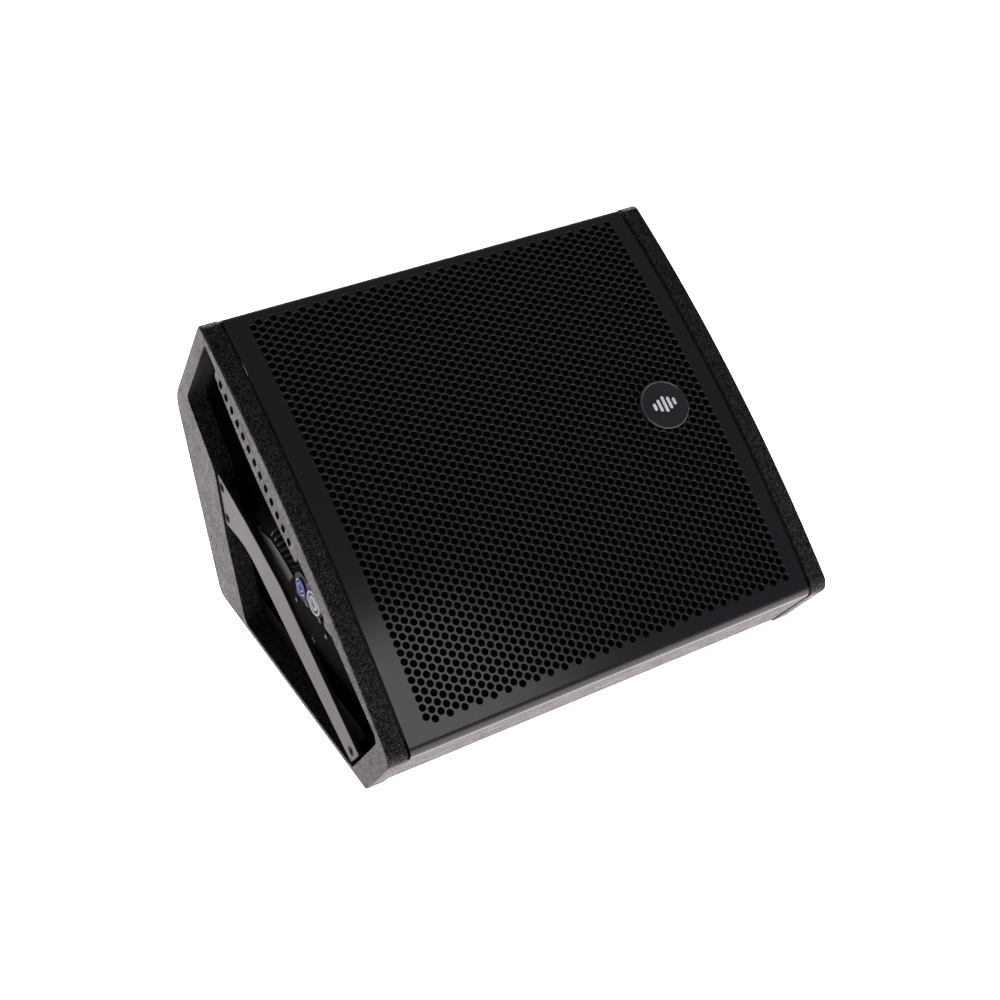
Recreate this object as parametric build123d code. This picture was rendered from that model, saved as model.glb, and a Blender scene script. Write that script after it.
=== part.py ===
from build123d import *
import os
from math import cos, radians, sin, sqrt

os.makedirs("parts", exist_ok=True)

# A powered stage monitor wedge with one coaxial driver. Millimetres, +Z up, front towards -Y.
# The origin is on the floor, midway across the width and midway from front to back.

# ---- driving dimensions -------------------------------------------------------------------
tilt = 36.0              # the grille's chord leans this far from level
width = 450.0            # over both cheeks
cheek = 18.0             # cheek panel thickness
panel = 13.0             # top, back, bottom and lower front panel thickness
panel_inset = 1.0        # panels sit this far inside the cheeks' outline
foot_lift = 2.0          # the cheeks clear the floor by this
slope_top = 201.0        # grille centre up the slope to the top face
slope_front = 210.0      # grille centre down the slope to the front face
top_depth = 160.0        # length of the top face, down from the grille's chord
base_back = 197.0        # grille centre back to the heel, along the floor
centre_y = -45.8         # grille centre, so that Y = 0 is midway from front to back
centre_z = 208.0         # grille centre above the floor
crown_radius = 1375.0    # the grille is part of a cylinder of this radius
grille_sheet = 1.5       # grille steel thickness
grille_gap = 2.6         # between the grille's side edge and the cheek
pocket_rim = 20.5        # the pocket's front edge, straight, this far below the grille's chord
pocket_top = 183.0       # pocket's upper edge, up the slope
pocket_front = 187.0     # pocket's front edge, down the slope
pocket_floor = 9.0       # pocket's lower edge above the floor
plate_depth = 30.0       # amplifier plate behind the cheek's outer face
plate_sheet = 3.0        # amplifier plate thickness
housing_wall = 3.0       # moulded amplifier housing
housing_depth = 57.0     # housing behind the cheek's inner face
woofer_x = 33.0          # driver axis from the middle of the width
baffle_front = -40.0     # baffle's face below the grille's chord
baffle_sheet = 15.0

c, s = cos(radians(tilt)), sin(radians(tilt))
outer_x = -width / 2
inner_x = outer_x + cheek
plate_x = outer_x + plate_depth
housing_x = inner_x + housing_depth


# ---- frames and helpers -------------------------------------------------------------------
def side(up, out):
    """Side view (Y, Z) of the point that far up the slope and out from the grille's chord."""
    return (centre_y + up * c - out * s, centre_z + up * s + out * c)


def crown(up, depth=0.0):
    """How far out from the chord a line parallel to the grille's curve is."""
    return sqrt((crown_radius - depth) ** 2 - up**2) - crown_radius


def slope(x, up, out):
    """A place whose local X is the width, local Y is up the slope and local Z is out."""
    y, z = side(up, out)
    return Plane(origin=(x, y, z), x_dir=(1, 0, 0), z_dir=(0, -s, c)).location


def on_plate(y, z, out=0.0):
    """A place on the amplifier plate: local X to the front, local Y up, local Z to the left."""
    return Plane(origin=(plate_x - out, y, z), x_dir=(0, -1, 0), z_dir=(-1, 0, 0)).location


def slab(face, x0, x1):
    """A side view face, extruded between two places across the width."""
    return extrude(Plane.YZ.offset(x0) * face, amount=x1 - x0)


def rounded(face, corners):
    """The face with each corner (point, radius) rounded."""
    for point, radius in corners:
        nearest = face.vertices().sort_by_distance((point[0], point[1], 0))[0]
        face = fillet(nearest, radius)
    return face


def polygon(points):
    return make_face(Polyline(*points, close=True))


def spun(points):
    """A solid of revolution about local Z from (radius, height) points."""
    return revolve(Plane.XZ * polygon(points), Axis.Z)


def ring(r_in, r_out, z0, z1):
    """A plain ring, or a disc where r_in is 0, between two heights."""
    body = Pos(0, 0, z0) * Cylinder(r_out, z1 - z0, align=(Align.CENTER, Align.CENTER, Align.MIN))
    if r_in > 0:
        body -= Pos(0, 0, z0) * Cylinder(r_in, z1 - z0, align=(Align.CENTER, Align.CENTER, Align.MIN))
    return body


def plate_box(y_size, z_size, low, high):
    """A box standing on the plate's frame, from one height to another."""
    return Pos(0, 0, low) * Box(y_size, z_size, high - low, align=(Align.CENTER, Align.CENTER, Align.MIN))


def save(node, *pieces):
    solids = [solid for piece in pieces for solid in piece.solids()]
    shape = solids[0] if len(solids) == 1 else Compound(solids)
    export_step(shape, f"parts/{node}.step")


# ---- side outlines ------------------------------------------------------------------------
front_floor_up = -slope_front
front_toe = side(front_floor_up, (foot_lift - centre_z + slope_front * s) / c)
heel = (centre_y + base_back, foot_lift)
top_back = side(slope_top, -top_depth)
back_length = sqrt((top_back[0] - heel[0]) ** 2 + (top_back[1] - heel[1]) ** 2)


def crown_arc(up_a, up_b, depth):
    """The arc parallel to the grille between two places on the slope."""
    middle = (up_a + up_b) / 2
    ends = [side(up, crown(up, depth)) for up in (up_a, middle, up_b)]
    return ThreePointArc(*ends)


def body_face(crown_depth):
    """The cabinet's side outline with sharp corners."""
    top_ridge = side(slope_top, crown(slope_top, crown_depth))
    chin = side(-slope_front, crown(slope_front, crown_depth))
    edges = crown_arc(-slope_front, slope_top, crown_depth) + Polyline(
        top_ridge, top_back, heel, front_toe, chin
    )
    return make_face(edges)


cheek_proud = 1.5
cheek_corners = [
    (side(slope_top, crown(slope_top)), 9.0),
    (top_back, 30.0),
    (heel, 14.0),
    (front_toe, 5.0),
    (side(-slope_front, crown(slope_front)), 13.0),
]
cheek_face = rounded(body_face(-cheek_proud), cheek_corners)

# The pocket in the left cheek. Its back edge is bent, and runs parallel to the back low down.
back_dir = ((heel[0] - top_back[0]) / back_length, (heel[1] - top_back[1]) / back_length)


def pocket_face(inset, floor):
    """The pocket's side outline, drawn in by an inset, above a floor height."""
    bends = side(112.0, -139.0), side(63.0, -187.0)
    bend_high, bend_low = ((y + back_dir[1] * inset, z - back_dir[0] * inset) for y, z in bends)
    run = (bend_low[1] - floor) / -back_dir[1]
    low_back = (bend_low[0] + back_dir[0] * run, floor)
    up_top = pocket_top - inset
    up_front = -(pocket_front - inset)
    rim = -pocket_rim - inset
    front_low = side(up_front, (floor - centre_z - up_front * s) / c)
    top_in = side(up_top, rim)
    top_out = side(up_top, -127.0 + inset / 2)
    front_in = side(up_front, rim)
    outline = polygon([top_in, top_out, bend_high, bend_low, low_back, front_low, front_in])
    corners = [(top_in, 3.0), (top_out, 7.0), (bend_high, 30.0), (bend_low, 50.0)]
    corners += [(low_back, 12.0), (front_low, 5.0), (front_in, 9.0)]
    return rounded(outline, corners)


# ---- cabinet ------------------------------------------------------------------------------
edge_round = 2.5
pocket_round = 0.6
joint_round = 1.2


def round_outer_edges(body, outer_axis_first):
    """A cheek with its outer face's rim rounded, and its inner face's rim eased."""
    outer = body.faces().sort_by(Axis.X)[0 if outer_axis_first else -1]
    body = fillet(outer.outer_wire().edges(), edge_round)
    inner = body.faces().sort_by(Axis.X)[-1 if outer_axis_first else 0]
    return chamfer(inner.outer_wire().edges(), joint_round / 2)


left_cheek = round_outer_edges(slab(cheek_face, outer_x, inner_x), True)
left_cheek -= slab(pocket_face(0.0, pocket_floor), outer_x - 1, inner_x + 1)

# The vent strip sits in a notch in the pocket's front edge, flush with the cheek.
slot_pitch, slots, first_slot_up = 12.5, 13, 145.6
slot_out, slot_width, slot_length = -23.5, 7.0, 10.0
vent_sheet, vent_gap = 2.0, 0.1
vent_ends = (-21.5, first_slot_up + slot_pitch * 0.5 + 6.0)
vent_top, vent_corners_out, vent_belly = -15.0, (-29.0, -28.0), (70.0, -36.5)
notch = polygon(
    [
        side(vent_ends[0] - vent_gap, vent_top + vent_gap),
        side(vent_ends[1] + vent_gap, vent_top + vent_gap),
        side(vent_ends[1] + vent_gap, -pocket_rim - 1),
        side(vent_ends[0] - vent_gap, -pocket_rim - 1),
    ]
)
left_cheek -= slab(notch, outer_x - 1, inner_x + 1)
mouth = left_cheek.faces().sort_by(Axis.X)[0].inner_wires()[0].edges()
left_cheek = fillet(mouth, pocket_round)
save("left_cheek", left_cheek)
save("right_cheek", round_outer_edges(slab(cheek_face, -inner_x, -outer_x), False))

# The four panels are one skin, butted where the bottom panel and the back's top bend end.
skin_out = offset(body_face(0.0), amount=-panel_inset, kind=Kind.INTERSECTION)
skin_in = offset(body_face(0.0), amount=-panel_inset - panel, kind=Kind.INTERSECTION)
far = 600.0
bend_start = -108.0
flange_sheet = 3.0


def skin_part(region):
    """The piece of the skin inside a region, as a side view face."""
    outer = rounded(skin_out, [(top_back, 44.0)])
    inner = rounded(skin_in, [(top_back, 44.0 - panel)])
    return (outer - inner) & region


floor_line = foot_lift + panel_inset + panel
below = Pos(0, floor_line - far / 2) * Rectangle(far * 2, far)
under_fold = -24.0
inside_top = slope_top - panel_inset - panel
top_region = polygon(
    [side(inside_top, under_fold), side(260, under_fold), side(260, bend_start), side(inside_top, bend_start)]
)
save("top_panel", slab(skin_part(top_region), inner_x, -inner_x))

back_region = polygon([side(260, bend_start), side(60, bend_start), side(-40, -260), side(60, -420)])
back_region = back_region - below
save("back_panel", slab(skin_part(back_region), inner_x, -inner_x))

fold_length = 24.0
fold_gap = 1.6
chin_top = -fold_length - fold_gap
inside_front = -(slope_front - panel_inset - panel)
front_region = polygon(
    [side(-260, chin_top), side(inside_front, chin_top), side(inside_front, -150), side(-260, -150)]
)
front_lift, front_foot_round, front_side_gap = 3.0, 5.0, 0.8
under_front = Pos(0, foot_lift + front_lift - far / 2) * Rectangle(far * 2, far)
front_face = skin_part(front_region) - under_front
front_foot = front_face.vertices().sort_by(Axis.Y)[:2].sort_by(Axis.X)[0]
front_x = -inner_x - front_side_gap
save("lower_front_panel", slab(fillet(front_foot, front_foot_round), -front_x, front_x))
bottom_panel = slab(skin_part(below) - front_region, inner_x + flange_sheet, -inner_x)
save("bottom_panel", bottom_panel)

# Baffle, driver hole and two port tubes. The baffle stops at the amplifier housing.
driver_hole_r = 139.0
bolt_r, bolt_hole_r, bolts = 145.0, 3.2, 8
port_x, port_up, port_r = (166.0, -104.0), 150.0, 25.0
port_wall, port_length = 2.5, 80.0
baffle_right = -inner_x


def around(count, radius, make, turn=0.0):
    """Copies of a shape on a circle about local Z."""
    return [Rot(0, 0, turn + 360 / count * i) * Pos(radius, 0, 0) * make for i in range(count)]


baffle = slope((housing_x + baffle_right) / 2, (inside_front + inside_top) / 2, baffle_front) * Box(
    baffle_right - housing_x,
    inside_top - inside_front,
    baffle_sheet,
    align=(Align.CENTER, Align.CENTER, Align.MAX),
)
driver_axis = slope(woofer_x, 0, 0)
cut_low, cut_high = baffle_front - baffle_sheet - 1, baffle_front + 1
baffle -= driver_axis * ring(0, driver_hole_r, cut_low, cut_high)
for hole in around(bolts, bolt_r, ring(0, bolt_hole_r, cut_low, cut_high), 22.5):
    baffle -= driver_axis * hole
for x in port_x:
    baffle -= slope(x, port_up, 0) * ring(0, port_r, cut_low, cut_high)
save("baffle", baffle)
tube = ring(port_r - port_wall, port_r, baffle_front - port_length, baffle_front)
tube += ring(port_r - port_wall, port_r + 5, baffle_front, baffle_front + 2)
save("port_tubes", *[slope(x, port_up, 0) * tube for x in port_x])

# Feet, each with a screw up into the bottom panel.
foot_r, foot_rise = 15.0, foot_lift + panel_inset
foot_x, foot_ys = 172.0, (centre_y - 84.0, centre_y + 172.0)
screw_head_r, screw_shank_r = 4.0, 2.0
foot_body = ring(0, foot_r, 0, foot_rise)
foot_body = chamfer(foot_body.faces().sort_by(Axis.Z)[0].edges(), 0.8)
foot_body -= ring(0, screw_head_r + 0.5, 0, foot_rise - 1.0)
foot_body -= ring(0, screw_shank_r + 0.1, 0, foot_rise)
foot_screw = ring(0, screw_head_r, 0.6, foot_rise - 1.0)
foot_screw += ring(0, screw_shank_r, foot_rise - 1.0, foot_rise)
feet_places = [Pos(x, y, 0) for x in (-foot_x, foot_x) for y in foot_ys]
save("rubber_feet", *[place * foot_body for place in feet_places])
save("foot_screws", *[place * foot_screw for place in feet_places])

# ---- grille -------------------------------------------------------------------------------
grille_top = slope_top + 0.5
grille_front = slope_front - 1.0
fold_top, fold_front = 8.0, 8.5
grille_edge = -inner_x - grille_gap
top_fold_length = 36.0


def grille_face(depth):
    """The grille's side outline at a depth inside its outer face."""
    up_a, up_b = -(grille_front - depth), grille_top - depth
    low = -120.0
    ridge, chin = side(up_b, crown(up_b, depth)), side(up_a, crown(up_a, depth))
    edges = crown_arc(up_a, up_b, depth) + Polyline(ridge, side(up_b, low), side(up_a, low), chin)
    radii = max(fold_top - depth, 1.0), max(fold_front - depth, 1.0)
    return rounded(make_face(edges), [(ridge, radii[0]), (chin, radii[1])])


sheet = grille_face(0.0) - grille_face(grille_sheet)
sheet -= polygon([side(-300, -fold_length), side(0, -fold_length), side(0, -400), side(-300, -400)])
sheet -= polygon([side(0, -top_fold_length), side(300, -top_fold_length), side(300, -400), side(0, -400)])
grille = slab(sheet, -grille_edge, grille_edge)
grille_screw_xs = (-150.0, 0.0, 150.0)
grille_screw_out = -27.0


def top_face_place(x, out, up=grille_top):
    """A place on the top face: local Z points away from the cabinet."""
    y, z = side(up, out)
    return Plane(origin=(x, y, z), x_dir=(1, 0, 0), z_dir=(0, c, s)).location


top_panel_face = slope_top - panel_inset
for x in grille_screw_xs:
    grille -= top_face_place(x, grille_screw_out) * ring(0, 2.2, -5, 5)
save("grille", grille)
grille_screw = ring(0, 3.8, 0, 1.8)
grille_screw = chamfer(grille_screw.faces().sort_by(Axis.Z)[-1].edges(), 0.7)
grille_screw += ring(0, 1.9, top_panel_face - grille_top, 0)
grille_screw -= Pos(0, 0, 0.6) * extrude(RegularPolygon(1.5, 6), amount=2)
save("grille_screws", *[top_face_place(x, grille_screw_out) * grille_screw for x in grille_screw_xs])

foam_sheet = 5.0
foam_gap = 0.6
foam_ends = (-190.0, 184.0)
rib_width = 10.0
foam_skin = grille_face(grille_sheet) - grille_face(grille_sheet + foam_sheet)
foam_region = polygon(
    [side(foam_ends[0], -60), side(foam_ends[0], 30), side(foam_ends[1], 30), side(foam_ends[1], -60)]
)
foam_right = -inner_x - rib_width
save("grille_foam", slab(foam_skin & foam_region, foam_gap - grille_edge, foam_right - 1))

rib_ends = (-185.0, 180.0)


def rib_face(depth):
    """A curved rib between the baffle and a line under the grille."""
    corners = [side(up, crown(up, depth)) for up in rib_ends]
    edges = crown_arc(*rib_ends, depth) + Polyline(
        corners[0], side(rib_ends[0], baffle_front), side(rib_ends[1], baffle_front), corners[1]
    )
    return make_face(edges)


rib_under_foam = slab(rib_face(grille_sheet + foam_sheet), housing_x, housing_x + rib_width)
rib_under_sheet = slab(rib_face(grille_sheet), foam_right, -inner_x)
save("grille_ribs", rib_under_foam, rib_under_sheet)

seal_sheet, seal_from_cheek = 1.0, 0.8
flange_margin = 4.0
seal_ends = (-194.0, 186.0)
seal_low = 2.5


def seal_face(depth_low):
    """An edge seal strip's side outline."""
    arcs = crown_arc(*seal_ends, 0.0) + crown_arc(*seal_ends, depth_low)
    ends = [side(up, crown(up, d)) for up in seal_ends for d in (0.0, depth_low)]
    return make_face(arcs + Line(ends[0], ends[1]) + Line(ends[2], ends[3]))


left_seal = slab(seal_face(seal_low), inner_x + seal_from_cheek, inner_x + seal_from_cheek + seal_sheet)
right_edge = -inner_x - seal_from_cheek
right_seal = slab(seal_face(grille_sheet), right_edge - seal_sheet, right_edge)
save("edge_seals", left_seal, right_seal)

badge_x, badge_up, badge_r, badge_sheet = 144.5, -2.5, 24.0, 2.4
badge = ring(0, badge_r, 0, badge_sheet)
badge = chamfer(badge.faces().sort_by(Axis.Z)[-1].edges(), 0.9)
save("badge", slope(badge_x, badge_up, 0) * badge)

# ---- amplifier housing and plate ----------------------------------------------------------
tray_inset, tray_floor = 3.0, 32.0
ledge = 8.0
plate_back = plate_x + plate_sheet
housing = slab(pocket_face(-flange_margin, foot_lift + panel_inset), inner_x, inner_x + flange_sheet)
housing += slab(
    pocket_face(tray_inset - housing_wall, tray_floor - housing_wall), inner_x + flange_sheet, housing_x
)
housing -= slab(pocket_face(tray_inset, tray_floor), inner_x - 1, plate_back)
housing -= slab(
    pocket_face(tray_inset + ledge, tray_floor + ledge), plate_back, housing_x - housing_wall
)

plate_gap = 0.4
amp_plate = slab(pocket_face(tray_inset + plate_gap, tray_floor + plate_gap), plate_x, plate_back)

# Places on the plate, as (Y from the grille's centre, Z above the floor).
connector_z = 98.0
inlet_y, outlet_y, xlr_in_y, xlr_out_y = (centre_y + y for y in (54.0, 28.0, -2.0, -29.0))
knob_place = (centre_y - 62.0, 96.0)
rocker_place = (centre_y - 1.0, 130.0)
switch_places = {"input": (centre_y - 26.0, 126.0), "contour": (centre_y - 42.0, 122.0)}
led_places = [(centre_y - 58.0 - 7.0 * i, 119.0 - 4.0 * i) for i in range(3)]

cover_sheet = 2.0
cover_low, cover_step, cover_high = 66.0, 116.0, 144.0
cover_front, cover_mid, cover_back = centre_y - 84.0, centre_y + 14.0, centre_y + 76.0
cover_face = polygon(
    [
        (cover_back, cover_low),
        (cover_front, cover_low),
        (cover_front, cover_step - 4),
        (centre_y - 48.0, 134.0),
        (centre_y - 26.0, cover_high),
        (cover_mid, cover_high),
        (cover_mid, cover_step),
        (cover_back, cover_step),
    ]
)
cover_front_x = plate_x - cover_sheet
connector_plate = slab(cover_face, cover_front_x, plate_x)

body_hole_r = 12.2
for y in (inlet_y, outlet_y, xlr_in_y, xlr_out_y):
    hole = on_plate(y, connector_z) * ring(0, body_hole_r, -plate_sheet - 1, cover_sheet + 1)
    amp_plate -= hole
    connector_plate -= hole
pot_bush_r, spindle_r = 4.0, 3.0
hole = on_plate(*knob_place) * ring(0, pot_bush_r + 0.1, -plate_sheet - 1, cover_sheet + 1)
amp_plate -= hole
connector_plate -= hole
rocker_y_size, rocker_z_size = 10.0, 16.4
frame_y_size, frame_z_size = 13.0, 19.4
frame_lip = 1.5
hole = on_plate(*rocker_place) * plate_box(
    frame_y_size + 0.2, frame_z_size + 0.2, -plate_sheet - 1, cover_sheet + 1
)
amp_plate -= hole
connector_plate -= hole
slider_size, slider_travel = 3.4, 4.0
for y, z in switch_places.values():
    slot = plate_box(slider_size + 0.8, slider_size + slider_travel + 0.8, -plate_sheet - 1, cover_sheet + 1)
    hole = on_plate(y, z + slider_travel / 2) * slot
    amp_plate -= hole
    connector_plate -= hole
led_r = 1.6
for y, z in led_places:
    hole = on_plate(y, z) * ring(0, led_r + 0.1, -plate_sheet - 1, cover_sheet + 1)
    amp_plate -= hole
    connector_plate -= hole
latch_y_size, latch_z_size, latch_up = 8.0, 3.0, 12.6
latch_slot = plate_box(latch_y_size + 0.4, latch_z_size + 0.4, -1.0, 6.0)
connector_plate -= on_plate(xlr_in_y, connector_z + latch_up) * latch_slot
save("connector_plate", connector_plate)

plate_screw_spots = [
    (172, -45),
    (170, -106),
    (58, -176),
    (6, -212),
    (-62, -160),
    (-170, -80),
    (-176, -46),
    (-44, -31.5),
]
plate_screw = ring(0, 3.4, 0, 1.6)
plate_screw = chamfer(plate_screw.faces().sort_by(Axis.Z)[-1].edges(), 0.6)
plate_screw += ring(0, 1.7, -plate_sheet, 0)
plate_screw -= Pos(0, 0, 0.5) * extrude(RegularPolygon(1.4, 6), amount=2)
plate_screws = []
for up, out in plate_screw_spots:
    place = on_plate(*side(up, out))
    amp_plate -= place * ring(0, 1.8, -plate_sheet - 1, 1)
    plate_screws.append(place * plate_screw)
cover_screw = ring(0, 2.2, cover_sheet, cover_sheet + 1.2)
for y, z in [(centre_y + 11, 71), (centre_y - 78, 71), (centre_y + 71, 71), (centre_y + 71, 111)]:
    plate_screws.append(on_plate(y, z) * cover_screw)
save("amp_plate_screws", *plate_screws)

# Heatsink fins stand behind the vent strip; the lowest carry a guard on their outer edges.
fin_pitch, fin_sheet = slot_pitch / 2, 1.6
fins = slots * 2 + 1
sink_base = 4.0
sink_low, sink_high = -92.0, -37.0
sink_ends = (first_slot_up - slot_pitch * slots - 3.0, first_slot_up + slot_pitch * 0.5 + 4.0)
sink_mid = (sink_ends[0] + sink_ends[1]) / 2
heatsink = slope(plate_x - sink_base / 2, sink_mid, (sink_low + sink_high) / 2) * Box(
    sink_base, sink_ends[1] - sink_ends[0], sink_high - sink_low
)
fin_foot_x, fin_tip_x = plate_x - sink_base, outer_x + vent_sheet
rail_x = outer_x + 9.0
guard_fins_below = 25.0
short_fin = [
    (fin_foot_x, sink_high),
    (fin_tip_x, -26.0),
    (fin_tip_x, -37.0),
    (fin_tip_x + 3.0, -47.0),
    (fin_foot_x, -82.0),
]
long_fin = [
    (fin_foot_x, sink_high),
    (fin_tip_x, -26.0),
    (fin_tip_x, -33.0),
    (fin_tip_x + 4.0, -42.0),
    (fin_foot_x - 5.0, -62.0),
    (rail_x, -80.0),
    (rail_x, sink_low + 2.0),
    (fin_foot_x, sink_low),
]
for i in range(fins):
    up = first_slot_up + slot_pitch * 0.25 - fin_pitch * i
    fin_plane = Plane(origin=(0, *side(up - fin_sheet / 2, 0)), x_dir=(1, 0, 0), z_dir=(0, c, s))
    points = long_fin if up < guard_fins_below else short_fin
    heatsink += extrude(fin_plane * polygon([(x, -out) for x, out in points]), amount=fin_sheet)
save("heatsink", heatsink)

vent_low, vent_high = vent_ends
vent_foot, vent_head = (side(up, out) for up, out in zip(vent_ends, vent_corners_out))
vent_edges = ThreePointArc(vent_foot, side(*vent_belly), vent_head) + Polyline(
    vent_head, side(vent_high, vent_top), side(vent_low, vent_top), vent_foot
)
vent = slab(rounded(make_face(vent_edges), [(vent_head, 6.0)]), outer_x, outer_x + vent_sheet)
for i in range(slots):
    y, z = side(first_slot_up - slot_pitch * i, slot_out)
    place = Plane(origin=(outer_x - 1, y, z), x_dir=(0, -s, c), z_dir=(1, 0, 0))
    vent -= extrude(place * SlotOverall(slot_length, slot_width), amount=vent_sheet + 2)
save("vent_strip", vent)

guard_corners = [(-21, -73.5), (-21, -95), (4, -102.5), (42, -113), (20, -90), (4, -82)]
guard_face = polygon([side(*corner) for corner in guard_corners])
save("heatsink_guard", slab(rounded(guard_face, [(side(-21, -95), 2.0)]), rail_x - 1.5, rail_x))

# ---- handle -------------------------------------------------------------------------------
handle_x = outer_x + 1.2
handle_sheet = 4.0
handle_corners = [(-183, -84), (-20, -98), (50, -117), (109, -137), (71, -173.8), (35, -145.5), (-183, -112)]
handle_radii = (2.0, 60.0, 60.0, 2.0, 3.0, 80.0, 2.0)
handle_face = polygon([side(*corner) for corner in handle_corners])
handle_face = rounded(
    handle_face, [(side(*corner), radius) for corner, radius in zip(handle_corners, handle_radii)]
)
handle = slab(handle_face, handle_x, handle_x + handle_sheet)
long_edges = handle.faces().sort_by(Axis.X)[0].outer_wire().edges()
handle = chamfer(long_edges, 0.6)
handle_screw_spots = {(95.5, -142.0): plate_x, (73.0, -163.3): plate_x, (-175.0, -99.0): inner_x}
bolt_shank_r, bolt_head_r, bolt_head = 3.0, 4.6, 2.4
post_r = 5.2
handle_posts, handle_screws = [], []
for (up, out), foot_x_place in handle_screw_spots.items():
    y, z = side(up, out)
    place = Plane(origin=(handle_x, y, z), x_dir=(0, 1, 0), z_dir=(1, 0, 0)).location
    sink_r = bolt_head_r + 0.2
    countersink = spun([(0, -1), (sink_r, -1), (sink_r, 0), (3.2, bolt_head), (0, bolt_head)])
    handle -= place * (countersink + ring(0, 3.1, 0, handle_sheet + 1))
    reach = foot_x_place - handle_x
    handle_posts.append(place * ring(3.1, post_r, handle_sheet, reach))
    screw = spun([(0, 0.8), (bolt_head_r - 0.8, 0.8), (3.0, bolt_head - 0.1), (0, bolt_head - 0.1)])
    screw += ring(0, bolt_shank_r, bolt_head - 0.1, reach)
    screw -= Pos(0, 0, 0.8) * extrude(RegularPolygon(2.0, 6), amount=1.6)
    handle_screws.append(place * screw)
save("handle_bar", handle)
save("handle_posts", *handle_posts)
save("handle_screws", *handle_screws)

# Bosses on the plate's back carry the board.
boss_r, boss_inset, board_gap = 3.0, 6.0, 24.0
board_up, board_low, board_high = (-138.0, 100.0), -104.0, -42.0
for up in (board_up[0] + boss_inset, board_up[1] - boss_inset):
    for out in (board_low + boss_inset, board_high - boss_inset):
        amp_plate += on_plate(*side(up, out)) * ring(0, boss_r, -board_gap, -plate_sheet)
save("amp_plate", amp_plate)

# ---- connectors ---------------------------------------------------------------------------
flange_y, flange_z, flange_rise = 25.6, 31.0, 2.0
flange_base = cover_sheet
flange_face = flange_base + flange_rise
body_r, body_back = 12.0, -17.0
flange_corner = 3.0


def socket_flange(hole_r):
    """A square-flanged chassis socket's frame, with a round hole through it."""
    shape = extrude(RectangleRounded(flange_y, flange_z, flange_corner), amount=flange_rise)
    return Pos(0, 0, flange_base) * shape - ring(0, hole_r, flange_base - 1, flange_face + 1)


power_sockets = {"power_inlet": (inlet_y, 8.6), "power_outlet": (outlet_y, body_r)}
power_frames = []
for name, (y, socket_r) in power_sockets.items():
    place = on_plate(y, connector_z)
    body = ring(0, socket_r, body_back, flange_face + 1.5)
    body -= ring(socket_r * 0.6, socket_r * 0.83, body_back + 5, flange_face + 3)
    body -= ring(0, socket_r * 0.38, flange_face + 0.5, flange_face + 3)
    body += Pos(0, socket_r * 0.72, 0) * plate_box(3.0, socket_r * 0.26, body_back + 4, flange_face - 1)
    for turn in (90, 210, 330):
        body -= Rot(0, 0, turn) * Pos(2.0, 0, 0) * plate_box(1.2, 2.0, body_back + 8, flange_face)
    save(f"{name}_body", place * body)
    power_frames.append(place * socket_flange(socket_r + 0.05))
save("power_socket_frames", *power_frames)

xlr_pin_ring, xlr_pin_r = 4.0, 1.2
xlr_in = on_plate(xlr_in_y, connector_z)
xlr_shell = socket_flange(9.8) + ring(9.8, body_r, body_back, flange_base)
xlr_shell -= Pos(0, latch_up, 0) * latch_slot
save("xlr_input_shell", xlr_in * xlr_shell)
insert = ring(0, 8.4, body_back, flange_face - 0.4) + ring(0, 9.75, body_back, body_back + 3)
for turn in (0, 90, 180):
    insert -= Rot(0, 0, turn + 180) * Pos(xlr_pin_ring, 0, 0) * ring(0, 1.3, body_back + 5, flange_face)
save("xlr_input_insert", xlr_in * insert)
latch = Pos(0, latch_up, 0) * plate_box(latch_y_size, latch_z_size, flange_base + 0.2, flange_face + 2.2)
latch = fillet(latch.faces().sort_by(Axis.Z)[-1].edges(), 0.5)
save("xlr_latch", xlr_in * latch)

xlr_out = on_plate(xlr_out_y, connector_z)
cavity_r, cavity_floor = 9.4, -9.0
male_shell = socket_flange(cavity_r) + ring(cavity_r, body_r, body_back, flange_base)
male_shell += ring(0, cavity_r, body_back, cavity_floor)
save("xlr_output_shell", xlr_out * male_shell)
pins = [
    xlr_out * Rot(0, 0, turn) * Pos(xlr_pin_ring, 0, 0) * ring(0, xlr_pin_r, cavity_floor, flange_face - 1.5)
    for turn in (0, 90, 180)
]
save("xlr_output_pins", *pins)

socket_screws = []
socket_screw = ring(0, 2.4, flange_face, flange_face + 1.0)
socket_screw -= Pos(0, 0, flange_face + 0.4) * extrude(RegularPolygon(1.1, 6), amount=1)
for y in (inlet_y, outlet_y, xlr_in_y, xlr_out_y):
    for side_y, side_z in ((-9.6, 12.4), (9.6, -12.4)):
        socket_screws.append(on_plate(y, connector_z) * Pos(side_y, side_z, 0) * socket_screw)
save("socket_screws", *socket_screws)

# ---- controls -----------------------------------------------------------------------------
knob_at = on_plate(*knob_place)
knob_r, knob_top, knob_base = 8.0, 16.0, cover_sheet + 0.8
flutes, flute_r = 12, 1.1
knob = ring(0, knob_r, knob_base, knob_top)
knob = fillet(knob.faces().sort_by(Axis.Z)[-1].edges(), 1.2)
for flute in around(flutes, knob_r + 0.4, ring(0, flute_r, knob_base + 3, knob_top + 1), 15):
    knob -= flute
knob -= Pos(0, knob_r / 2 + 0.4, 0) * plate_box(1.0, knob_r, knob_top - 0.6, knob_top + 1)
bush_top = knob_base + 4.0
knob -= ring(0, pot_bush_r + 0.3, knob_base - 1, bush_top + 0.3)
spindle_back = -12.0
knob += ring(0, spindle_r, spindle_back, bush_top + 0.3)
save("volume_knob", knob_at * knob)
pot = plate_box(17, 17, spindle_back - 4, -plate_sheet) + ring(0, pot_bush_r, -plate_sheet, bush_top)
pot -= ring(0, spindle_r + 0.05, spindle_back - 0.5, bush_top + 1)
save("volume_pot", knob_at * pot)

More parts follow.
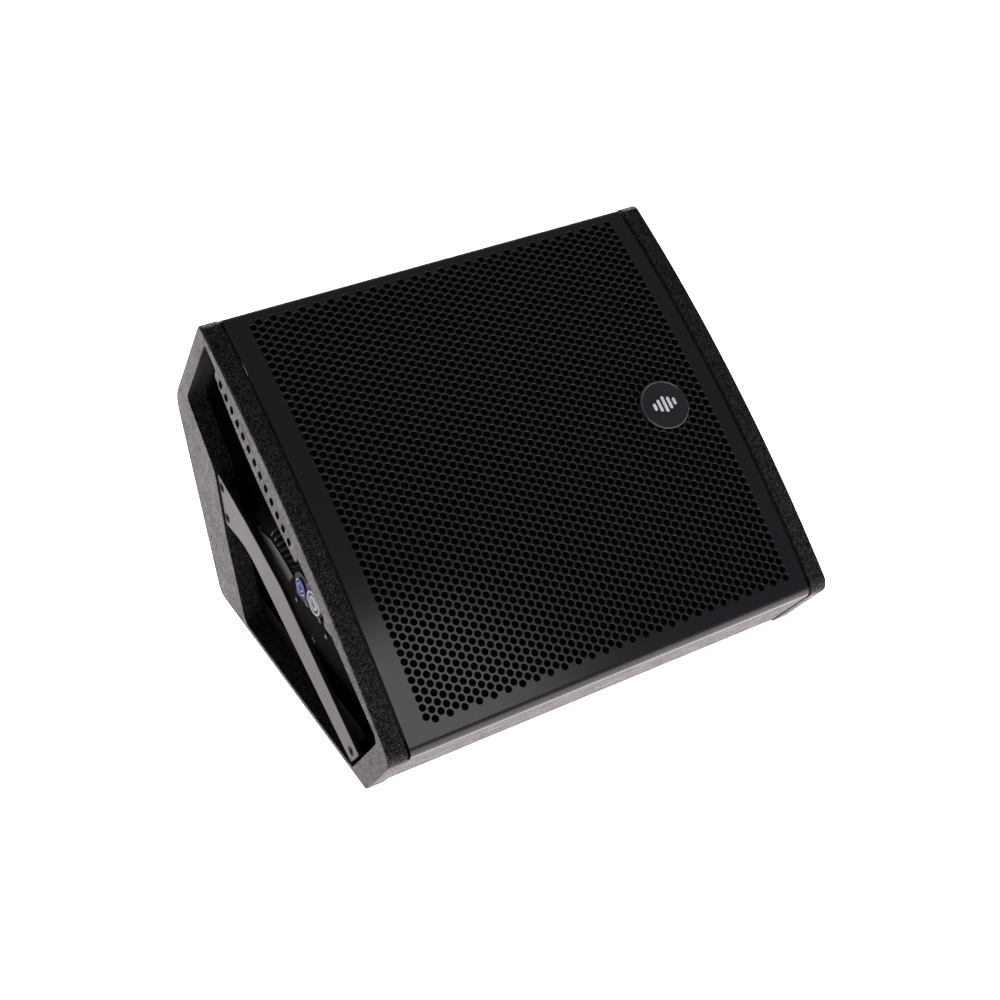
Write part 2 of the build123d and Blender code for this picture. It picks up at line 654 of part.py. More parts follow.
slider_top, slider_back = 6.0, -6.0
switch_bodies = []
for name, (y, z) in switch_places.items():
    slider = plate_box(slider_size, slider_size, slider_back, slider_top)
    slider = chamfer(slider.faces().sort_by(Axis.Z)[-1].edges(), 0.5)
    for i in (-1, 0, 1):
        slider -= Pos(0, i * 1.0, 0) * plate_box(slider_size + 1, 0.35, slider_top - 0.4, slider_top + 1)
    save(f"{name}_switch_slider", on_plate(y, z) * slider)
    case = plate_box(7.0, 13.0, -12.0, -plate_sheet)
    well = plate_box(slider_size + 0.5, slider_size + slider_travel + 0.6, slider_back - 0.4, 0)
    switch_bodies.append(on_plate(y, z + slider_travel / 2) * (case - well))
save("slide_switch_cases", *switch_bodies)

rocker_at = on_plate(*rocker_place)
rocker_swing = 20.0
rocker_r, rocker_crest = rocker_z_size / 2, 5.0
frame_top = cover_sheet + frame_lip
rocker_frame = plate_box(frame_y_size, frame_z_size, -14.0, cover_sheet)
rocker_frame += plate_box(frame_y_size + 3, frame_z_size + 3, cover_sheet, frame_top)
rocker_frame -= plate_box(rocker_y_size + 0.5, rocker_z_size + 0.5, -12.0, frame_top + 1)
save("rocker_frame", rocker_at * rocker_frame)
pivot_z = 1.0
disc = Plane.YZ * Circle(rocker_r)
rocker = Pos(0, 0, pivot_z) * extrude(disc, amount=rocker_y_size / 2, both=True)
half = rocker_swing / 2
for sign in (-1, 1):
    flat = Rot(-sign * half, 0, 0) * Pos(0, sign * far / 2, rocker_crest + far / 2) * Box(far, far, far)
    rocker -= Pos(0, 0, pivot_z) * flat
rocker = Pos(0, 0, pivot_z) * Rot(-half, 0, 0) * Pos(0, 0, -pivot_z) * rocker
save("power_rocker", rocker_at * rocker)

led = ring(0, led_r, -plate_sheet, cover_sheet) + Pos(0, 0, cover_sheet) * (
    Sphere(led_r) & Pos(0, 0, led_r) * Box(4 * led_r, 4 * led_r, 2 * led_r)
)
save("status_leds", *[on_plate(y, z) * led for y, z in led_places])

# ---- amplifier electronics, sealed behind the plate ---------------------------------------
board_sheet = 1.6
board_x = plate_x + board_gap
board_mid = (sum(board_up) / 2, (board_low + board_high) / 2)
board = slope(board_x + board_sheet / 2, *board_mid) * Box(
    board_sheet, board_up[1] - board_up[0], board_high - board_low
)
save("amp_board", board)
part_x = board_x + board_sheet
room = housing_x - housing_wall - part_x - 1.0
core = slope(part_x + room / 2, 55, -74) * Box(room, 42, 40)
can = ring(0, 9.0, 0, room - 1)
cans = []
for up in (-10.0, 12.0):
    y, z = side(up, -80)
    cans.append(Plane(origin=(part_x, y, z), x_dir=(0, 1, 0), z_dir=(1, 0, 0)).location * can)
save("board_components", core, *cans)

# ---- coaxial driver -----------------------------------------------------------------------
flange_out_r, flange_low, flange_high = 152.5, baffle_front, baffle_front + 4.0
wall_r = (132.0, 138.0)
shelf_z, ring_z = -97.0, -107.0
basket = ring(wall_r[0], flange_out_r, flange_low, flange_high)
basket += ring(wall_r[0], wall_r[1], -58, flange_low)
cone_wall = spun([(wall_r[1], -56), (wall_r[0], -56), (78, ring_z + 4), (84, ring_z + 4)])
spokes = [Rot(0, 0, 60 * i) * Pos(100, 0, -80) * Box(110, 26, 70) for i in range(6)]
for spoke in spokes:
    basket += cone_wall & spoke
basket += ring(62, 88, ring_z, ring_z + 4) + ring(74, 86, ring_z + 4, shelf_z)
basket -= ring(0, 62, ring_z - 1, ring_z + 30)
for hole in around(bolts, bolt_r, ring(0, bolt_hole_r, flange_low - 1, flange_high + 1), 22.5):
    basket -= hole
save("woofer_basket", driver_axis * basket)

screw_reach_z = baffle_front - baffle_sheet
woofer_screw = ring(0, 5.0, flange_high, flange_high + 4)
woofer_screw = chamfer(woofer_screw.faces().sort_by(Axis.Z)[-1].edges(), 0.8)
woofer_screw += ring(0, 3.0, screw_reach_z, flange_high)
woofer_screw -= Pos(0, 0, flange_high + 1.5) * extrude(RegularPolygon(2.5, 6), amount=4)
screws = around(bolts, bolt_r, woofer_screw, 22.5)
save("woofer_screws", *[driver_axis * screw for screw in screws])

cone_edge_r, cone_edge_z, cone_neck_r, cone_neck_z, cone_sheet = 114.0, -43.0, 38.6, -91.0, 1.2
cone = spun(
    [
        (cone_neck_r, cone_neck_z),
        (cone_neck_r, cone_neck_z + cone_sheet * 1.5),
        (cone_edge_r - 5.6, cone_edge_z + cone_sheet),
        (cone_edge_r, cone_edge_z + cone_sheet),
        (cone_edge_r, cone_edge_z),
        (cone_edge_r - 5.0, cone_edge_z),
    ]
)
save("woofer_cone", driver_axis * cone)
coil = ring(37.6, 38.3, -122, -88) + ring(38.3, 39.3, -118, -104)
save("voice_coil", driver_axis * coil)

roll_r, roll_sheet = 8.6, 0.9
roll_mid = (cone_edge_r + wall_r[0]) / 2
surround_z = cone_edge_z + cone_sheet
roll = Pos(roll_mid, surround_z) * (Circle(roll_r) - Circle(roll_r - roll_sheet))
roll &= Pos(roll_mid, surround_z + roll_r) * Rectangle(4 * roll_r, 2 * roll_r)
lips = Pos(cone_edge_r - 2.0, surround_z + roll_sheet / 2) * Rectangle(6.0, roll_sheet)
outer_lip_z = flange_high
roll_section = roll + lips
outer_lip = polygon(
    [
        (roll_mid + roll_r - roll_sheet, surround_z),
        (roll_mid + roll_r, surround_z),
        (roll_mid + roll_r, outer_lip_z),
        (wall_r[1], outer_lip_z),
        (wall_r[1], outer_lip_z + roll_sheet),
        (roll_mid + roll_r - roll_sheet, outer_lip_z + roll_sheet),
    ]
)
roll_section += outer_lip
save("woofer_surround", driver_axis * revolve(Plane.XZ * roll_section, Axis.Z))

waves = [Pos(44.5 + 8 * i, shelf_z + 0.6) * (Circle(4.4) - Circle(3.6)) for i in range(4)]
spider = ring(38.4, 40.4, shelf_z, shelf_z + 0.9) + ring(72.2, 80, shelf_z, shelf_z + 0.9)
for i, wave in enumerate(waves):
    lift = 0 if i % 2 == 0 else -8
    half_wave = wave & Pos(44.5 + 8 * i, shelf_z + 4.6 + lift) * Rectangle(9, 8)
    spider += revolve(Plane.XZ * half_wave, Axis.Z)
save("woofer_spider", driver_axis * spider)

top_plate_low, magnet_low, back_low = -115.0, -135.0, -143.0
pole_r, throat_r = 37.0, 14.0
save("woofer_top_plate", driver_axis * ring(40.0, 82.0, top_plate_low, ring_z))
magnet = chamfer(ring(46.0, 88.0, magnet_low, top_plate_low).edges().filter_by(GeomType.CIRCLE), 1.5)
save("woofer_magnet", driver_axis * magnet)
pole = ring(throat_r, 82.0, back_low, magnet_low) + ring(throat_r, pole_r, magnet_low, ring_z + 1)
save("woofer_pole_piece", driver_axis * pole)

mouth_z, horn_wall = -50.0, 2.5
horn = spun(
    [
        (throat_r, ring_z + 1),
        (throat_r + 10, ring_z + 1),
        (throat_r + 10, ring_z + 5),
        (throat_r + horn_wall, ring_z + 8),
        (22, -84),
        (34, -64),
        (54, mouth_z),
        (54, mouth_z + horn_wall),
        (50, mouth_z + horn_wall),
        (31.5, -62),
        (19.5, -82),
        (throat_r, -98),
    ]
)
save("hf_horn", driver_axis * horn)

hf_low, hf_cover_low, hf_r, dome_r = -170.0, -182.0, 50.0, 22.0
hf_body = ring(throat_r, hf_r, hf_low + 8, back_low) + ring(30.0, hf_r, hf_low, hf_low + 8)
save("hf_driver_body", driver_axis * hf_body)
dome_z = hf_low + 3.0
dome = Pos(0, 0, dome_z - 40) * (Sphere(45.0) - Sphere(44.6))
dome &= ring(0, dome_r, dome_z - 10, dome_z + 10)
dome_rim = dome_z - 40 + sqrt(44.6**2 - dome_r**2)
dome = dome + ring(dome_r - 0.3, 28.0, dome_rim - 0.2, dome_rim + 0.2)
save("hf_diaphragm", driver_axis * dome)
hf_cover = ring(0, hf_r - 1, hf_cover_low, hf_low) - ring(0, 34.0, hf_cover_low + 3, hf_low + 1)
hf_cover = fillet(hf_cover.faces().sort_by(Axis.Z)[0].edges(), 2.0)
save("hf_cover", driver_axis * hf_cover)

save("amp_housing", housing)
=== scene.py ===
from math import asin, cos, pi, radians, sin, sqrt

import bmesh
import bpy
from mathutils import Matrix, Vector


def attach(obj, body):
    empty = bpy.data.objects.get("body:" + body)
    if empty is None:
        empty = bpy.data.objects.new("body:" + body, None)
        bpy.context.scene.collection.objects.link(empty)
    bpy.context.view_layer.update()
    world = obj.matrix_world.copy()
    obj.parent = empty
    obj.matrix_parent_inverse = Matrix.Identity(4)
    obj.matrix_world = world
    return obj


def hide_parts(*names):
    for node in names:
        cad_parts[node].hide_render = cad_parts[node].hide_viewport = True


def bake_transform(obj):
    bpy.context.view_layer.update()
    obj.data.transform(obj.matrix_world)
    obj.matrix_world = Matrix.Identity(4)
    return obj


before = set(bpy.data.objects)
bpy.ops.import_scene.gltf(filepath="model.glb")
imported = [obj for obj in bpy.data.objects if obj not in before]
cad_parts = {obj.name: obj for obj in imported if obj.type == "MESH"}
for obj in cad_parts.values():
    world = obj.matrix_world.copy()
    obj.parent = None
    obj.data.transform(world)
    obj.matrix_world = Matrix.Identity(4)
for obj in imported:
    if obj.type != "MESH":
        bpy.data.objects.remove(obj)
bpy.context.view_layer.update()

# ---- the wedge's own frame: up the slope and out from the grille's chord, in metres ---------
MM = 0.001
TILT = radians(36)
C, S = cos(TILT), sin(TILT)
CENTRE_Y, CENTRE_Z = -0.0458, 0.208
CROWN_R = 1.375
GRILLE_TOP, GRILLE_FRONT = 0.2015, 0.209
FOLD_TOP, FOLD_FRONT = 0.008, 0.0085
TOP_LEG_END, FRONT_END = -0.036, -0.024
SHEET = 0.0015


def place(x, up, out):
    """A point in the row frame."""
    return Vector((x, CENTRE_Y + up * C - out * S, CENTRE_Z + up * S + out * C))


# ---- materials ------------------------------------------------------------------------------
def new_material(name):
    m = bpy.data.materials.new(name)
    m.use_nodes = True
    return m, m.node_tree.nodes, m.node_tree.links, m.node_tree.nodes["Principled BSDF"]


def ramp(nodes, links, value, stops):
    """A colour ramp fed by a value. Stops are (position, colour) pairs."""
    r = nodes.new("ShaderNodeValToRGB")
    r.color_ramp.elements[0].position, r.color_ramp.elements[0].color = stops[0][0], (*stops[0][1], 1)
    r.color_ramp.elements[1].position, r.color_ramp.elements[1].color = stops[-1][0], (*stops[-1][1], 1)
    for position, colour in stops[1:-1]:
        r.color_ramp.elements.new(position).color = (*colour, 1)
    links.new(value, r.inputs["Fac"])
    return r.outputs["Color"]


def noise(nodes, links, scale, detail=4.0, rough=0.55, stretch=None):
    """A noise over the object's own coordinates, in metres."""
    coords = nodes.new("ShaderNodeTexCoord")
    vector = coords.outputs["Object"]
    if stretch:
        mapping = nodes.new("ShaderNodeMapping")
        mapping.inputs["Scale"].default_value = stretch
        links.new(vector, mapping.inputs["Vector"])
        vector = mapping.outputs["Vector"]
    n = nodes.new("ShaderNodeTexNoise")
    n.inputs["Scale"].default_value = scale
    n.inputs["Detail"].default_value = detail
    n.inputs["Roughness"].default_value = rough
    links.new(vector, n.inputs["Vector"])
    return n.outputs["Fac"]


def grey(v):
    return (v, v, v)


def bumped(nodes, links, shader, height, distance, strength=1.0, under=None):
    b = nodes.new("ShaderNodeBump")
    b.inputs["Distance"].default_value = distance
    b.inputs["Strength"].default_value = strength
    links.new(height, b.inputs["Height"])
    if under:
        links.new(under, b.inputs["Normal"])
    links.new(b.outputs["Normal"], shader.inputs["Normal"])
    return b.outputs["Normal"]


def dull(material, level):
    """The material with a weaker surface reflection."""
    material.node_tree.nodes["Principled BSDF"].inputs["Specular IOR Level"].default_value = level
    return material


def textured_paint(name, base=0.005, grain=1400.0):
    """Thick sprayed paint: fine grains that glint unevenly, over a soft roller lay."""
    m, nodes, links, shader = new_material(name)
    coords = nodes.new("ShaderNodeTexCoord")
    cells = nodes.new("ShaderNodeTexVoronoi")
    cells.inputs["Scale"].default_value = grain
    links.new(coords.outputs["Object"], cells.inputs["Vector"])
    grains = ramp(nodes, links, cells.outputs["Distance"], [(0.05, grey(1.0)), (0.7, grey(0.0))])
    lay = bumped(nodes, links, shader, noise(nodes, links, 160.0, 3.0), 0.0004, 0.25)
    bumped(nodes, links, shader, grains, 0.0004, 1.0, lay)
    tones = [(0.3, base * 0.4), (0.55, base), (0.75, base * 2.5), (0.85, base * 6.0)]
    tone = ramp(nodes, links, cells.outputs["Color"], [(at, grey(v)) for at, v in tones])
    links.new(tone, shader.inputs["Base Color"])
    glint = ramp(nodes, links, cells.outputs["Color"],
                 [(0.3, grey(0.03)), (0.5, grey(0.08)), (0.7, grey(0.23)), (0.82, grey(0.42))])
    shader.inputs["Specular IOR Level"].default_value = 0.15  # the mean, where the glints are dropped
    links.new(glint, shader.inputs["Specular IOR Level"])
    gloss = ramp(nodes, links, noise(nodes, links, 60.0, 4.0), [(0.35, grey(0.3)), (0.7, grey(0.4))])
    links.new(gloss, shader.inputs["Roughness"])
    return m


def coated_metal(name, base, rough, peel=0.00006, scale=380.0, scuff=0.05, metal=0.0, coat=0.0):
    """Powder coat or satin paint: fine orange peel, faint scuffs and finger marks in the gloss."""
    m, nodes, links, shader = new_material(name)
    colour = ramp(nodes, links, noise(nodes, links, 55.0, 6.0, 0.65),
                  [(0.3, tuple(c * 0.85 for c in base)), (0.7, tuple(min(1.0, c * 1.2) for c in base))])
    links.new(colour, shader.inputs["Base Color"])
    shader.inputs["Metallic"].default_value = metal
    shader.inputs["Coat Weight"].default_value = coat
    shader.inputs["Coat Roughness"].default_value = 0.15
    marks = ramp(nodes, links, noise(nodes, links, 22.0, 8.0, 0.7),
                 [(0.35, grey(rough)), (0.65, grey(rough + scuff)), (0.8, grey(rough + 2.2 * scuff))])
    links.new(marks, shader.inputs["Roughness"])
    bumped(nodes, links, shader, noise(nodes, links, scale, 3.0, 0.5), peel, 0.5)
    return m


def brushed(name, base, rough, along=(1, 30, 30), metal=1.0):
    """Machined or plated metal with a drawn grain."""
    m, nodes, links, shader = new_material(name)
    grain = noise(nodes, links, 160.0, 6.0, 0.7, along)
    colour = ramp(nodes, links, grain,
                  [(0.3, tuple(c * 0.8 for c in base)), (0.7, tuple(min(1.0, c * 1.15) for c in base))])
    links.new(colour, shader.inputs["Base Color"])
    shader.inputs["Metallic"].default_value = metal
    links.new(ramp(nodes, links, grain, [(0.3, grey(rough)), (0.7, grey(rough + 0.14))]),
              shader.inputs["Roughness"])
    bumped(nodes, links, shader, grain, 0.00003, 0.4)
    return m


def moulded(name, base, rough, grain=900.0, depth=0.00008, sheen=0.0):
    """Moulded plastic or rubber with a fine spark-eroded texture."""
    m, nodes, links, shader = new_material(name)
    colour = ramp(nodes, links, noise(nodes, links, 120.0, 5.0, 0.6),
                  [(0.3, tuple(c * 0.88 for c in base)), (0.7, tuple(min(1.0, c * 1.12) for c in base))])
    links.new(colour, shader.inputs["Base Color"])
    links.new(ramp(nodes, links, noise(nodes, links, 40.0, 5.0),
                   [(0.3, grey(rough)), (0.7, grey(min(1.0, rough + 0.1)))]), shader.inputs["Roughness"])
    shader.inputs["Sheen Weight"].default_value = sheen
    bumped(nodes, links, shader, noise(nodes, links, grain, 2.0, 0.5), depth, 0.6)
    return m


def open_foam(name):
    """Reticulated foam: fine black strands, with the pore centres painted darker as painted shade in the
    pores.
    """
    m, nodes, links, shader = new_material(name)
    coords = nodes.new("ShaderNodeTexCoord")
    cells = nodes.new("ShaderNodeTexVoronoi")
    cells.feature = "DISTANCE_TO_EDGE"
    cells.inputs["Scale"].default_value = 700.0
    links.new(coords.outputs["Object"], cells.inputs["Vector"])
    # The pore centres are painted darker than the strands: painted shade in the pores.
    strut_tone_and_pore_shade = ramp(nodes, links, cells.outputs["Distance"],
                  [(0.0, grey(0.004)), (0.12, grey(0.002)), (0.3, grey(0.0005))])
    links.new(strut_tone_and_pore_shade, shader.inputs["Base Color"])
    shader.inputs["Roughness"].default_value = 0.95
    height = ramp(nodes, links, cells.outputs["Distance"], [(0.0, grey(1.0)), (0.25, grey(0.0))])
    bumped(nodes, links, shader, height, 0.0009, 1.0)
    return m


def woven(name, base, period=0.0011):
    """A resin-stiffened cloth: two crossed sets of threads, painted darker where they lie low as painted
    shade between the threads.
    """
    m, nodes, links, shader = new_material(name)
    coords = nodes.new("ShaderNodeTexCoord")
    heights = []
    for direction in ("X", "Y"):
        wave = nodes.new("ShaderNodeTexWave")
        wave.bands_direction = direction
        wave.inputs["Scale"].default_value = 1 / period / 6.2
        wave.inputs["Distortion"].default_value = 0.6
        links.new(coords.outputs["Object"], wave.inputs["Vector"])
        heights.append(wave.outputs["Fac"])
    both = nodes.new("ShaderNodeMath")
    both.operation = "MAXIMUM"
    links.new(heights[0], both.inputs[0])
    links.new(heights[1], both.inputs[1])
    # Darker where the threads lie low: painted shade between the threads.
    links.new(ramp(nodes, links, both.outputs[0],
                   [(0.3, tuple(c * 0.45 for c in base)), (0.8, base)]), shader.inputs["Base Color"])
    shader.inputs["Roughness"].default_value = 0.8
    bumped(nodes, links, shader, both.outputs[0], 0.0003, 0.8)
    return m


def plywood(name, tint):
    """Birch ply stained black: grain along the width."""
    m, nodes, links, shader = new_material(name)
    grain = noise(nodes, links, 14.0, 10.0, 0.7, (1, 18, 18))
    dark = tuple(c * 0.5 for c in tint)
    links.new(ramp(nodes, links, grain, [(0.35, dark), (0.65, tint)]), shader.inputs["Base Color"])
    links.new(ramp(nodes, links, grain, [(0.3, grey(0.55)), (0.7, grey(0.75))]), shader.inputs["Roughness"])
    bumped(nodes, links, shader, grain, 0.0002, 0.5)
    return m


def circuit(name):
    """Green solder mask over faint copper runs."""
    m, nodes, links, shader = new_material(name)
    coords = nodes.new("ShaderNodeTexCoord")
    bricks = nodes.new("ShaderNodeTexVoronoi")
    bricks.distance = "CHEBYCHEV"
    bricks.feature = "DISTANCE_TO_EDGE"
    bricks.inputs["Scale"].default_value = 90.0
    links.new(coords.outputs["Object"], bricks.inputs["Vector"])
    colour = ramp(nodes, links, bricks.outputs["Distance"],
                  [(0.02, (0.02, 0.13, 0.06)), (0.05, (0.008, 0.07, 0.03)), (0.4, (0.006, 0.05, 0.02))])
    links.new(colour, shader.inputs["Base Color"])
    shader.inputs["Roughness"].default_value = 0.35
    bumped(nodes, links, shader, bricks.outputs["Distance"], 0.0001, 0.3)
    return m


def lens(name, base):
    """A tinted indicator lens with a faint moulded ripple."""
    m, nodes, links, shader = new_material(name)
    ripple = noise(nodes, links, 700.0, 2.0)
    links.new(ramp(nodes, links, ripple, [(0.2, tuple(c * 0.7 for c in base)), (0.8, base)]),
              shader.inputs["Base Color"])
    shader.inputs["Roughness"].default_value = 0.2
    shader.inputs["Coat Weight"].default_value = 0.5
    bumped(nodes, links, shader, ripple, 0.00005, 0.4)
    return m


PAINT = textured_paint("textured_black_paint")
GRILLE = coated_metal("grille_powder_coat", (0.0048, 0.0045, 0.0055), 0.18, 0.00004, 520.0, 0.03)
STEEL = dull(coated_metal("satin_black_steel", (0.012, 0.0105, 0.0095), 0.3, 0.00004, 420.0, 0.05), 0.09)
# A darker copy of the satin black steel: the shade the guard sits in inside the pocket is painted into it.
STEEL_WITH_POCKET_SHADE = dull(coated_metal("satin_black_steel_pocket_shade", (0.009, 0.008, 0.0072), 0.38), 0.08)
ANODISED = dull(brushed("black_anodised_aluminium", (0.006, 0.006, 0.0065), 0.42, (30, 1, 1), 0.1), 0.1)
# The amp and connector plates, housing and handle posts are black, painted darker still with a weak
# reflection as painted shade inside the side pocket.
BLACK_AND_POCKET_SHADE = dull(moulded("black_parts_and_pocket_shade", (0.001, 0.001, 0.0011), 0.75), 0.03)
PLASTIC = dull(moulded("black_moulded_plastic", (0.003, 0.003, 0.0033), 0.5), 0.15)
CONTROL = moulded("soft_black_control", (0.008, 0.008, 0.0085), 0.45, 1300.0)
RUBBER = moulded("black_rubber", (0.012, 0.012, 0.012), 0.7, 700.0, 0.0001, 0.15)
# Black foam, painted darker still and given a weak reflection, as painted shade behind the grille's holes.
FOAM_AND_HOLE_SHADE = dull(open_foam("open_black_foam_and_hole_shade"), 0.02)
STAINED = plywood("stained_plywood", (0.03, 0.024, 0.02))
# Black screws, painted darker still as painted shade in their recesses.
SCREWS_AND_RECESS_SHADE = dull(coated_metal("black_screws_and_recess_shade", (0.002, 0.002, 0.002), 0.6), 0.1)
SCREW = brushed("black_zinc_screws", (0.06, 0.06, 0.065), 0.32, (1, 1, 1))
ZINC = brushed("zinc_plate", (0.62, 0.62, 0.6), 0.3)
NICKEL = brushed("satin_nickel", (0.05, 0.048, 0.044), 0.3, (1, 1, 1))
GOLD = brushed("gold_contacts", (0.85, 0.62, 0.25), 0.2, (1, 1, 1))
BLUE = moulded("blue_plastic", (0.012, 0.11, 0.72), 0.28, 1200.0, 0.00004)
GREY = moulded("light_grey_plastic", (0.78, 0.79, 0.82), 0.3, 1200.0, 0.00004)
WHITE = moulded("off_white_plastic", (0.7, 0.7, 0.68), 0.4, 1200.0, 0.00004)
LED = lens("green_lens", (0.12, 0.5, 0.16))
BADGE = coated_metal("badge_gloss", (0.006, 0.006, 0.007), 0.16, 0.00002, 300.0, 0.03, 0.0, 0.6)
MARK = coated_metal("badge_mark_white", (0.78, 0.78, 0.78), 0.35, 0.00002, 300.0, 0.03)
CONE = moulded("coated_paper_cone", (0.02, 0.02, 0.021), 0.6, 450.0, 0.0002)
COPPER = brushed("coil_wire", (0.75, 0.3, 0.15), 0.3, (1, 1, 40))
CLOTH = woven("spider_cloth", (0.5, 0.32, 0.1))
FERRITE = moulded("ground_ferrite", (0.035, 0.035, 0.038), 0.5, 600.0, 0.0001)
FOIL = brushed("dome_foil", (0.7, 0.62, 0.5), 0.3, (1, 1, 1))
BOARD = circuit("circuit_board")
WRAPPED = moulded("wrapped_components", (0.03, 0.032, 0.045), 0.4, 500.0)
PRINT = moulded("pale_panel_print", (0.5, 0.5, 0.5), 0.6, 900.0, 0.00002)

LOOKS = {
    PAINT: "left_cheek right_cheek top_panel back_panel bottom_panel lower_front_panel vent_strip",
    STEEL: "handle_bar woofer_basket edge_seals",
    STEEL_WITH_POCKET_SHADE: "heatsink_guard",
    ANODISED: "hf_cover heatsink",
    BLACK_AND_POCKET_SHADE: "amp_housing amp_plate connector_plate handle_posts",
    PLASTIC: "port_tubes power_socket_frames hf_horn",
    CONTROL: "xlr_input_insert volume_knob rocker_frame power_rocker",
    RUBBER: "rubber_feet woofer_surround",
    STAINED: "baffle grille_ribs",
    SCREW: "grille_screws amp_plate_screws socket_screws woofer_screws",
    SCREWS_AND_RECESS_SHADE: "handle_screws",
    ZINC: "foot_screws volume_pot slide_switch_cases woofer_top_plate woofer_pole_piece",
    NICKEL: "xlr_input_shell xlr_latch xlr_output_shell",
    GOLD: "xlr_output_pins",
    BLUE: "power_inlet_body",
    GREY: "power_outlet_body",
    WHITE: "input_switch_slider contour_switch_slider",
    LED: "status_leds",
    CONE: "woofer_cone",
    COPPER: "voice_coil",
    CLOTH: "woofer_spider",
    FERRITE: "woofer_magnet hf_driver_body",
    FOIL: "hf_diaphragm",
    BOARD: "amp_board",
    WRAPPED: "board_components",
}
for look, names in LOOKS.items():
    for name in names.split():
        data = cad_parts[name].data
        data.materials.clear()
        data.materials.append(look)


# ---- pieces made here -----------------------------------------------------------------------
def make_piece(name, bm, material, body="cabinet", smooth=True):
    mesh = bpy.data.meshes.new(name)
    bm.normal_update()
    bm.to_mesh(mesh)
    bm.free()
    mesh.materials.append(material)
    obj = bpy.data.objects.new(name, mesh)
    bpy.context.scene.collection.objects.link(obj)
    for p in mesh.polygons:
        p.use_smooth = smooth
    if smooth:
        mesh.set_sharp_from_angle(angle=radians(38))
    if body:
        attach(obj, body)
    return obj


# The grille's section by arc length from its apex, towards the top or the front.
def fold(edge, radius):
    """(arc length to the fold, the crown's angle there, fold centre out) on one side."""
    reach = edge - radius
    angle = asin(reach / (CROWN_R - radius))
    return CROWN_R * angle, angle, -CROWN_R + sqrt((CROWN_R - radius) ** 2 - reach**2)


TOP_RUN, TOP_ANGLE, TOP_OUT = fold(GRILLE_TOP, FOLD_TOP)
FRONT_RUN, FRONT_ANGLE, FRONT_OUT = fold(GRILLE_FRONT, FOLD_FRONT)


def section(v, depth=0.0):
    """(up, out) on the grille's section, v along its outer face and depth inside it."""
    side = 1 if v >= 0 else -1
    run, angle, out, radius, edge = (
        (TOP_RUN, TOP_ANGLE, TOP_OUT, FOLD_TOP, GRILLE_TOP)
        if v >= 0
        else (FRONT_RUN, FRONT_ANGLE, FRONT_OUT, FOLD_FRONT, GRILLE_FRONT)
    )
    v = abs(v)
    if v <= run:
        a = v / CROWN_R
        r = CROWN_R - depth
        return side * r * sin(a), r * cos(a) - CROWN_R
    a = angle + (v - run) / radius
    if a <= pi / 2:
        r = radius - depth
        return side * (edge - radius + r * sin(a)), out + r * cos(a)
    return side * (edge - depth), out - (a - pi / 2) * radius


def sheet_point(x, v, depth):
    return place(x, *section(v, depth))


HOLE_R, RIM_R, RIM_DEPTH = 0.0032, 0.00345, 0.00028
PITCH = 0.008
COLUMNS, ROWS = 54, 48
COLUMN_STEP = PITCH * sqrt(3) / 2
FIRST_X = -0.1811
FIRST_V = -0.1842
HALF_X, HALF_V = COLUMN_STEP / 2, PITCH / 2
STEP_V = PITCH / 4
GRILLE_HALF = 0.2044


